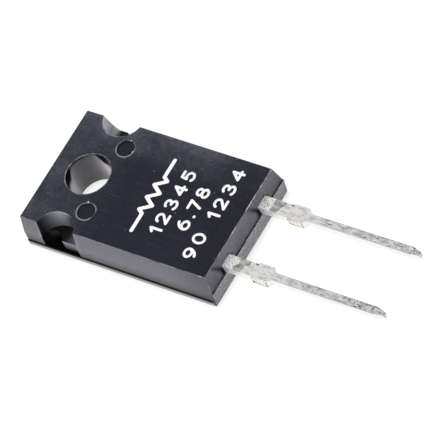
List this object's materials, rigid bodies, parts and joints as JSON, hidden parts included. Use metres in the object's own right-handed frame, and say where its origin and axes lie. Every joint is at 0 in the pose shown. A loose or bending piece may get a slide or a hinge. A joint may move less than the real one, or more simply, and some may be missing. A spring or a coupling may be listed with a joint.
{
  "type": "power film resistor",
  "caption": "Black moulded power resistor with a flange mounting hole, a metal heat-sink plate underneath and flat tinned leads at one end.",
  "frame": {"origin": "centre of the mounting hole, on the heat-sink face of the plate", "axes": "+X along the part towards its leads, +Y across it, +Z out of the marked face"},
  "size_m": [0.0291, 0.0102, 0.0032],
  "materials": {
    "moulded_epoxy": "moulded black thermoset epoxy, fine matt grain",
    "nickel_plated_copper": "nickel-plated copper, satin",
    "solder": "dull tin solder",
    "alumina": "fired alumina ceramic",
    "fired_film": "fired resistor film",
    "silver_pad": "fired silver pad",
    "cover_glass": "fired green cover glass",
    "tinned_copper": "matt tin plate with scuffs along the lead"
  },
  "bodies": {
    "root": {"moulded_case": "moulded_epoxy", "mounting_plate": "nickel_plated_copper", "bond_layer": "solder", "ceramic_substrate": "alumina", "resistive_film": "fired_film", "termination_left": "silver_pad", "termination_right": "silver_pad", "overglaze": "cover_glass", "solder_joint_left": "solder", "solder_joint_right": "solder", "lead_left": "tinned_copper", "lead_right": "tinned_copper"}
  },
  "joints": []
}
